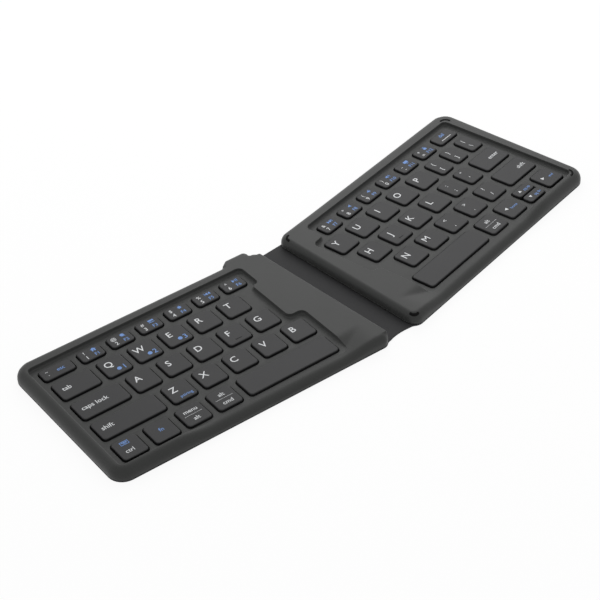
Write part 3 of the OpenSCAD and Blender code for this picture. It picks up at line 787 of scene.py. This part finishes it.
def cut_port(shell):
    """Opens the boss for the charging port, and gives the shell the mesh that results."""
    port = to_half(node_points("charging_port"), LEFT)
    u, _, z = (port.min(0) + port.max(0)) / 2
    rear = boss_span()[2]
    flat, _ = rectangle(u, z, *PORT_ROOM, PORT_R, steps=10)
    build = Build()
    ends = [build.ring(flat, v) for v in (rear + CUTTER_OUT, rear - PORT_DEEP)]
    build.points = [(u, v, z) for u, z, v in build.points]
    build.loft(ends)
    for end in ends:
        build.face(end)
    cutter = make_piece("port_cutter", build, LEFT, [])
    opening = shell.modifiers.new("port_opening", "BOOLEAN")
    opening.object = cutter
    opening.operation = "DIFFERENCE"
    opening.solver = "EXACT"
    shell.modifiers.move(len(shell.modifiers) - 1, 0)
    even = shell.modifiers["even_normals"]
    even.show_viewport = False
    bpy.context.view_layer.update()
    seen = shell.evaluated_get(bpy.context.evaluated_depsgraph_get())
    opened = bpy.data.meshes.new_from_object(seen)
    even.show_viewport = True
    closed = shell.data
    shell.data = opened
    shell.modifiers.remove(opening)
    bpy.data.objects.remove(cutter)
    bpy.data.meshes.remove(closed)


# -------------------- keys

def keycap(build, key):
    """A key with flared sides in near-black painted shade, a soft edge and a flat top."""
    flat, normal = rectangle(key.u, key.v, key.w, key.d, KEY_R)

    def ring(inset, z):
        return build.ring(flat - normal * inset, z)

    sides = [ring(KEY_WALL, key.top - KEY_WALL), ring(KEY_WALL, key.bottom),
             ring(KEY_FOOT, key.bottom), ring(0, key.bottom + KEY_FOOT),
             ring(KEY_LEAN, key.top - KEY_SOFT_DEEP)]
    # Slot 1 is the near-black painted shade on the key's sides and underside
    build.loft(sides, slot=1)
    brow = build.brow(flat, normal, key.top, KEY_SOFT, KEY_SOFT_DEEP, KEY_STEPS, KEY_LEAN)
    build.loft([sides[-1]] + brow)
    build.fill([brow[-1]])
    build.fill([sides[0]], slot=1)


def home_bar(build, key):
    """The low raised bar that a finger finds on the F and J keys."""
    w, d, h = HOME_BAR
    v = key.v - key.d / 2 + KEY_FLARE + HOME_BAR_FROM_FRONT
    flat, normal = rectangle(key.u, v, w, d, HOME_BAR_R)
    rings = [build.ring(flat, key.top - HOME_BAR_SUNK), build.ring(flat, key.top)]
    rings += build.brow(flat, normal, key.top + h, HOME_BAR_SOFT, h, HOME_BAR_STEPS)
    build.loft(rings)
    build.fill([rings[-1]])
    build.fill([rings[0]])


def make_keys():
    for node in KEY_NODES:
        keys = [k for k in KEYS if k.node == node]
        build = Build()
        for k in keys:
            keycap(build, k)
            if node in ("key_f", "key_j"):
                home_bar(build, k)
        cap = make_piece(node + "_cap", build, keys[0].side, [KEY_TOP, KEY_SIDE_SHADE])
        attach(cap, node)
        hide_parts(node)


# -------------------- legends

# Inks, as material slots
WHITE, BLUE = 0, 1


def star(count, low):
    """Points round a circle one unit wide, with every other one drawn in to a share of it."""
    return [(0.5 * math.cos(a) * r, 0.5 * math.sin(a) * r) for a, r in
            ((2 * math.pi * k / count, 1 if k % 2 else low) for k in range(count))]


SPEAKER = [(-0.6, -0.15), (-0.35, -0.15), (0, -0.45), (0, 0.45), (-0.35, 0.15), (-0.6, 0.15)]

# Pictures as outlines, about one unit high round their middle
PICTURES = {
    "left": [[(-0.5, 0), (0.4, -0.5), (0.4, 0.5)]],
    "right": [[(0.5, 0), (-0.4, 0.5), (-0.4, -0.5)]],
    "up": [[(0, 0.5), (-0.5, -0.4), (0.5, -0.4)]],
    "down": [[(0, -0.5), (0.5, 0.4), (-0.5, 0.4)]],
    "house": [[(-0.6, 0.05), (0, 0.5), (0.6, 0.05), (0.4, 0.05), (0.4, -0.5), (0.1, -0.5),
               (0.1, -0.15), (-0.1, -0.15), (-0.1, -0.5), (-0.4, -0.5), (-0.4, 0.05)]],
    "lens": [[(-0.5, 0.1), (-0.35, -0.25), (0, -0.4), (0.2, -0.3), (0.5, -0.5), (0.35, -0.15),
              (0.4, 0.1), (0.25, 0.4), (0, 0.5), (-0.35, 0.4)]],
    "window": [bar(-0.6, -0.4, 0.6, -0.25), bar(-0.6, 0.05, 0.6, 0.45),
               bar(-0.6, -0.15, -0.1, -0.05)],
    "sun": [star(16, 0.55)],
    "back": [bar(-0.7, -0.4, -0.58, 0.4), [(-0.55, 0), (0, -0.4), (0, 0.4)],
             [(0.05, 0), (0.6, -0.4), (0.6, 0.4)]],
    "play": [[(-0.6, 0.4), (-0.6, -0.4), (0, 0)], bar(0.1, -0.4, 0.25, 0.4),
             bar(0.4, -0.4, 0.55, 0.4)],
    "next": [[(-0.6, 0.4), (-0.6, -0.4), (-0.05, 0)], [(0, 0.4), (0, -0.4), (0.55, 0)],
             bar(0.58, -0.4, 0.7, 0.4)],
    "mute": [SPEAKER],
    "quiet": [SPEAKER, bar(0.15, -0.2, 0.27, 0.2)],
    "loud": [SPEAKER, bar(0.15, -0.2, 0.27, 0.2), bar(0.42, -0.4, 0.55, 0.4)],
    "screen": [bar(-0.6, -0.2, 0.6, 0.5), bar(-0.3, -0.5, 0.3, -0.35)],
    "lock": [bar(-0.4, -0.5, 0.4, 0.1),
             [(-0.25, 0.15), (-0.12, 0.15), (-0.12, 0.38), (0.12, 0.38), (0.12, 0.15),
              (0.25, 0.15), (0.25, 0.5), (-0.25, 0.5)]],
    "board": [bar(-0.9, -0.5, 0.9, -0.38), bar(-0.9, 0.38, 0.9, 0.5),
              bar(-0.9, -0.34, -0.78, 0.34), bar(0.78, -0.34, 0.9, 0.34),
              bar(-0.65, 0.05, 0.65, 0.25), bar(-0.4, -0.25, 0.4, -0.08)],
    "line": [bar(-3.6, -0.05, 3.6, 0.05)],
    "dash": [bar(-2.4, -0.12, 2.4, 0.12)],
    "dot": [star(12, 1)],
}


@functools.cache
def letters(text):
    """Vertices and faces of a text in Blender's own font, one unit thick."""
    curve = bpy.data.curves.new("word", "FONT")
    curve.body = text
    curve.extrude = 0.5
    curve.offset = LEGEND_BOLD
    curve.resolution_u = LEGEND_STEPS
    made = bpy.data.objects.new("word", curve)
    mesh = made.to_mesh()
    points = np.array([v.co for v in mesh.vertices])
    faces = [tuple(p.vertices) for p in mesh.polygons]
    made.to_mesh_clear()
    bpy.data.objects.remove(made)
    bpy.data.curves.remove(curve)
    return points, faces


def word(text):
    """Vertices and faces of a text, one unit thick and with capitals one unit high."""
    points, faces = letters(text)
    capital = np.ptp(letters("H")[0][:, 1])
    return points * (1 / capital, 1 / capital, 1), faces


def picture(name):
    """Vertices and faces of a picture, one unit thick."""
    points, faces = [], []
    for outline in PICTURES[name]:
        n = len(outline)
        low = range(len(points), len(points) + n)
        high = range(low.stop, low.stop + n)
        points += [(x, y, z) for z in (-0.5, 0.5) for x, y in outline]
        faces += [tuple(high), tuple(reversed(low))]
        faces += [(low[i], low[(i + 1) % n], high[(i + 1) % n], high[i]) for i in range(n)]
    return np.array(points), faces


def mark(build, key, what, across, deep, size, ink, align="middle"):
    """Prints a word or, after a colon, a picture on a key, size millimetres high. across and
    deep are shares of the key's top from its left and front edges, but a mark aligned to one
    side is across millimetres from it."""
    drawn = what[0] == ":" and len(what) > 1
    points, faces = picture(what[1:]) if drawn else word(what)
    points = points * (size, size, 1)
    low, high = points[:, 0].min(), points[:, 0].max()
    w, d = key.w - 2 * KEY_FLARE, key.d - 2 * KEY_FLARE
    if align == "left":
        shift = across - w / 2 - low
    elif align == "right":
        shift = w / 2 - across - high
    else:
        shift = (across - 0.5) * w - (low + high) / 2
    middle = 0 if drawn else size / 2
    r, s = points[:, 0] + shift, points[:, 1] - middle + (deep - 0.5) * d
    z = key.top + (points[:, 2] - 0.5) * LEGEND_DEEP + LEGEND_PROUD
    first = len(build.points)
    build.points += list(zip(key.u + key.side * r, key.v + s, z))
    for face in faces:
        build.face([first + i for i in face], ink)


def stacked(upper, lower):
    return [(upper, 0.4, 0.76, 2.4, WHITE), (lower, 0.4, 0.3, 2.4, WHITE)]


def numbered(upper, digit, drawn, function):
    return [(upper, 0.26, 0.73, 2.0, WHITE), (digit, 0.26, 0.28, 2.3, WHITE),
            (":" + drawn, 0.69, 0.74, 2.5, BLUE), (function, 0.7, 0.28, 2.0, BLUE)]


def two_lines(upper, lower):
    return [(upper, 0.5, 0.72, 2.3, WHITE), (":line", 0.5, 0.5, 1.3, WHITE),
            (lower, 0.5, 0.27, 2.3, WHITE)]


def arrow(way, name, size=2.2):
    return [(":" + way, 0.3, 0.55, size, WHITE), (name, 0.7, 0.45, 1.6, BLUE)]


def at_left(text):
    return [(text, 2.8, 0.55, 2.6, WHITE, "left")]


def at_right(text):
    return [(text, 2.6, 0.5, 2.4, WHITE, "right")]


DRAWN = "house lens window sun back play next mute quiet loud screen lock".split()
NUMBERED = [numbered(upper, digit, drawn, f"F{number}") for number, (upper, digit, drawn)
            in enumerate(zip("!@#$%^&*()_+", "1234567890-=", DRAWN), 1)]

# What is printed on the keys of each node, in reading order, as mark takes it
LEGENDS = {
    "left_number_keys": [
        [("~", 0.2, 0.7, 1.8, WHITE), ("`", 0.2, 0.26, 1.8, WHITE), ("esc", 0.62, 0.52, 2.2, BLUE)],
        *NUMBERED[:6]],
    "right_number_keys": [
        *NUMBERED[6:], [("del", 0.5, 0.73, 2.3, BLUE), (":dash", 0.5, 0.26, 1.6, WHITE)]],
    "punctuation_keys": [stacked(upper, lower) for upper, lower in zip('{}|:"<>?', "[]\\;',./")],
    "left_modifier_keys": [
        at_left("tab"), at_left("caps lock"), at_left("shift"),
        [(":board", 0.45, 0.78, 2.4, BLUE), ("ctrl", 0.42, 0.36, 2.3, WHITE)],
        [("fn", 0.5, 0.55, 2.3, BLUE)], two_lines("menu", "alt"), two_lines("alt", "cmd")],
    "right_modifier_keys": [at_right("shift"), two_lines("alt", "cmd")],
    "enter_key": [at_right("enter")],
    "arrow_keys": [arrow("up", "pg up", 1.9), arrow("left", "home"), arrow("right", "end"),
                   arrow("down", "pg dn", 1.9)],
}


def second_number(digit):
    return [(":dot", 0.56, 0.24, 2.3, BLUE), (digit, 0.78, 0.24, 3.0, BLUE)]


# What some keys have below their letter
BELOW_LETTER = {"key_q": second_number("1"), "key_w": second_number("2"),
                "key_e": second_number("3"), "key_z": [("pairing", 0.62, 0.2, 1.7, BLUE)]}


def marks_of(node, number):
    """Marks on one key of a node; the space bars have none."""
    if node.startswith("key_"):
        return [(node[-1].upper(), 0.33, 0.65, 3.8, WHITE)] + BELOW_LETTER.get(node, [])
    return LEGENDS[node][number] if node in LEGENDS else []


def make_legends():
    for node in KEY_NODES:
        keys = [k for k in KEYS if k.node == node]
        build = Build()
        for number, key in enumerate(keys):
            for each in marks_of(node, number):
                mark(build, key, *each)
        if build.faces:
            legend = make_piece(node + "_legend", build, keys[0].side, [WHITE_INK, BLUE_INK],
                                weld=0)
            for face in legend.data.polygons:
                face.use_smooth = False
            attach(legend, node)


# -------------------- spine and covers

def notch(centre, r, strip_end, way):
    """Fillet between a half's round corner and the REAR or FRONT end of the spine, in the
    frame: points and normals from the corner to the spine's end."""
    fillet = NOTCH_R[way]
    y = strip_end + way * fillet
    x = centre[0] - math.sqrt((r + fillet) ** 2 - (centre[1] - y) ** 2)
    start = math.atan2(centre[1] - y, centre[0] - x)
    angles = np.linspace(start, -way * math.pi / 2, NOTCH_POINTS)
    ring = np.stack([np.cos(angles), np.sin(angles)], 1)
    return np.array([x, y]) + ring * fillet, -ring


def cover_contour(side):
    """Outline of a half's cover and its share of the spine, in the frame, as it lies on the
    right half: a left half's is mirrored afterwards."""
    flat, normal = (to_frame(np.column_stack([each, np.zeros(len(each))]), RIGHT)[:, :2]
                    for each in contour(half_corners(side), corner_radii(side)))
    spine_y = node_points("spine_strip")[:, 1] / MM
    rear_end, front_end = spine_y.max(), spine_y.min()

    def corner_and_notch(way, end):
        near = ((flat[:, 0] < WALL_X + NOTCH_WITHIN) & (normal[:, 0] < -NOTCH_TURN)
                & (normal[:, 1] * way > NOTCH_TURN))
        centre = flat[near][0] - normal[near][0] * INNER_CORNER[side]
        return centre, *notch(centre, INNER_CORNER[side], end, way)

    rear_centre, rear_notch, rear_normal = corner_and_notch(REAR, rear_end)
    _, front_notch, front_normal = corner_and_notch(FRONT, front_end)

    # The half's own outline opens between the notches, and starts after that opening
    keep = flat[:, 0] > WALL_X + ON_LINE
    keep &= ~((flat[:, 1] < rear_notch[0][1]) & (flat[:, 1] > front_notch[0][1])
              & (flat[:, 0] < rear_centre[0]))
    body, body_normal = flat[keep], normal[keep]
    first = int(np.argmax(np.linalg.norm(body - np.roll(body, 1, 0), axis=1)))
    body, body_normal = np.roll(body, -first, 0), np.roll(body_normal, -first, 0)

    # The spine's ends, and the seam between the two sides' shares of it
    step = BEND_GRID[0]
    columns = np.arange(step, rear_notch[-1][0] - STRIP_EDGE, step)[::-1]
    strip_rear = np.array([(x, rear_end) for x in columns] + [(0, rear_end)])
    width = front_notch[-1][0]
    strip_front = np.array([(x, front_end + FRONT_SAG * (1 - (x / width) ** 2))
                            for x in np.arange(0, width - STRIP_EDGE, step)])
    seam = np.linspace(strip_rear[-1], strip_front[0], SEAM_POINTS)[1:-1]
    points = np.concatenate([body, rear_notch, strip_rear, seam, strip_front, front_notch[::-1]])
    normals = np.concatenate([body_normal, rear_normal,
                              np.full_like(strip_rear, (0, 1)), np.zeros_like(seam),
                              np.full_like(strip_front, (0, -1)), front_normal[::-1]])
    return points, normals


def soft_cover(side):
    """A half's back cover with its share of the spine, flat, with a grid of points over the spine.
    """
    build = Build()
    flat, normal = cover_contour(side)

    def ring(inset, z):
        return build.ring(flat - normal * inset, z)

    rings = [ring(COVER_FOOT, 0)]
    for sine, rest in quarter(COVER_FOOT_STEPS):
        rings.append(ring(COVER_FOOT * (1 - sine), COVER_FOOT * rest))
    rings.append(ring(0, COVER_T - COVER_BROW))
    rings += build.brow(flat, normal, COVER_T, COVER_BROW, COVER_BROW, COVER_BROW_STEPS)
    build.loft(rings)
    (across, along), (wide, long) = BEND_GRID, BEND_REACH
    grid = grid_within(np.arange(across, wide, across), np.arange(-long, long, along), flat,
                       BEND_EDGE)
    build.fill([rings[0]], build.ring(grid, 0))
    build.fill([rings[-1]], build.ring(grid, COVER_T))
    build.points = [(side * x, y, z) for x, y, z in build.points]

    name = SIDE_NAME[side] + "_back_cover"
    piece = make_piece(name + "_skin", build, 0, [SKIN])
    if side == LEFT:
        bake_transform(piece)
    else:
        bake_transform(piece)
    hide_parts(name, "spine_strip")


# -------------------- bumpers

def rounded_top(points):
    """Height of the right top shell's upper side over points near its corners."""
    outline, out = shell_contour(RIGHT)
    wide, tall = edge_rounding(outline, out, RIGHT)
    away = np.linalg.norm(points[:, None] - outline[None], axis=2)
    near = away.argmin(1)
    share = np.clip(1 - away.min(1) / wide[near], 0, 1)
    return RIM_Z - tall[near] * (1 - np.sqrt(1 - share ** 2))


def bumper(build, number, bottom, proud):
    """Adds a corner's bumper: bent round the corner, with round ends and a soft top."""
    r = corner_radii(RIGHT)[number]
    centre, out = corner_centre(number, r)
    r -= BUMPER_IN[number]
    half = BUMPER_W / 2
    middle = math.atan2(out[1], out[0])
    first, last = middle - BUMPER_SPAN / 2, middle + BUMPER_SPAN / 2
    turn = np.linspace(0, math.pi, BUMPER_END_POINTS)[1:-1]

    def way(angle):
        return np.array([math.cos(angle), math.sin(angle)])

    centre = centre + BUMPER_SHIFT
    runs = [(centre, r + half, 1, np.linspace(first, last, BUMPER_POINTS)),
            (centre + r * way(last), half, 1, last + turn),
            (centre, r - half, -1, np.linspace(last, first, BUMPER_POINTS)),
            (centre + r * way(first), half, 1, first + math.pi + turn)]
    path = np.array([hub + reach * way(a) for hub, reach, _, angles in runs for a in angles])
    normals = np.array([facing * way(a) for _, _, facing, angles in runs for a in angles])
    top = rounded_top(path) + proud
    rings = [build.ring(path, bottom), build.ring(path, top - BUMPER_SOFT)]
    rings += build.brow(path, normals, top, BUMPER_SOFT, BUMPER_SOFT, BUMPER_STEPS)
    build.loft(rings)
    build.fill([rings[0]])
    build.fill([rings[-1]])


def make_bumpers():
    heights = node_points("corner_bumpers")[:, 2] / MM
    build = Build()
    for number in range(len(BUMPER_IN)):
        bumper(build, number, heights.min(), heights.max() - RIM_Z)
    piece = make_piece("corner_bumpers_soft", build, RIGHT, [RUBBER])
    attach(piece, "right_half")
    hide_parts("corner_bumpers")


# -------------------- light, floor, camera

def white_to_the_eye(nodes, links):
    """1 for rays from the camera, through glass or off metal, 0 for the rays that light."""
    path = nodes.new("ShaderNodeLightPath")
    value = path.outputs["Is Camera Ray"]
    for other in ("Is Glossy Ray", "Is Transmission Ray"):
        value = maths(nodes, links, "MAXIMUM", value, path.outputs[other])
    return value


def make_floor():
    floor = bpy.data.materials.new("floor_paper")
    floor.use_nodes = True
    nodes, links = floor.node_tree.nodes, floor.node_tree.links
    paper = nodes["Principled BSDF"]
    paper.inputs["Base Color"].default_value = PAPER_TONE
    paper.inputs["Roughness"].default_value = PAPER_ROUGH
    glow = nodes.new("ShaderNodeEmission")
    glow.inputs["Strength"].default_value = GLOW_LEVEL
    share = maths(nodes, links, "MULTIPLY", white_to_the_eye(nodes, links), FLOOR_GLOW)
    mix = nodes.new("ShaderNodeMixShader")
    links.new(share, mix.inputs[0])
    links.new(paper.outputs[0], mix.inputs[1])
    links.new(glow.outputs[0], mix.inputs[2])
    links.new(mix.outputs[0], nodes["Material Output"].inputs["Surface"])
    mesh = bpy.data.meshes.new("floor")
    corners = bar(-FLOOR_HALF, -FLOOR_HALF, FLOOR_HALF, FLOOR_HALF)
    mesh.from_pydata([(x, y, 0) for x, y in corners], [], [(0, 1, 2, 3)])
    mesh.materials.append(floor)
    piece = add_object("floor", mesh)


def make_light():
    world = bpy.data.worlds.new("studio")
    world.use_nodes = True
    nodes, links = world.node_tree.nodes, world.node_tree.links
    background = nodes["Background"]
    background.inputs["Color"].default_value = (1, 1, 1, 1)
    level = nodes.new("ShaderNodeMapRange")
    level.inputs["To Min"].default_value = WORLD_LEVEL
    level.inputs["To Max"].default_value = 1.0
    links.new(white_to_the_eye(nodes, links), level.inputs["Value"])
    links.new(level.outputs["Result"], background.inputs["Strength"])
    bpy.context.scene.world = world

    for name, at, aim, size, power in LAMPS:
        light = bpy.data.lights.new(name, "AREA")
        light.shape = "RECTANGLE"
        light.size, light.size_y = size
        light.energy = power
        made = add_object(name, light)
        made.location = at
        made.rotation_euler = (Vector(aim) - Vector(at)).to_track_quat("-Z", "Y").to_euler()


def make_camera():
    camera = bpy.data.cameras.new("camera")
    camera.lens = CAMERA_LENS
    camera.sensor_width = CAMERA_SENSOR
    camera.clip_start = CAMERA_CLIP * MM
    made = add_object("camera", camera)
    made.location = [c * MM for c in CAMERA_AT]
    made.rotation_euler = Euler([math.radians(a) for a in CAMERA_TURN])
    bpy.context.scene.camera = made


make_camera()
dress_cad_nodes()
for each in (LEFT, RIGHT):
    top_shell(each)
    soft_cover(each)
make_keys()
make_legends()
make_bumpers()
make_floor()
make_light()

bpy.context.scene.view_settings.view_transform = "Standard"
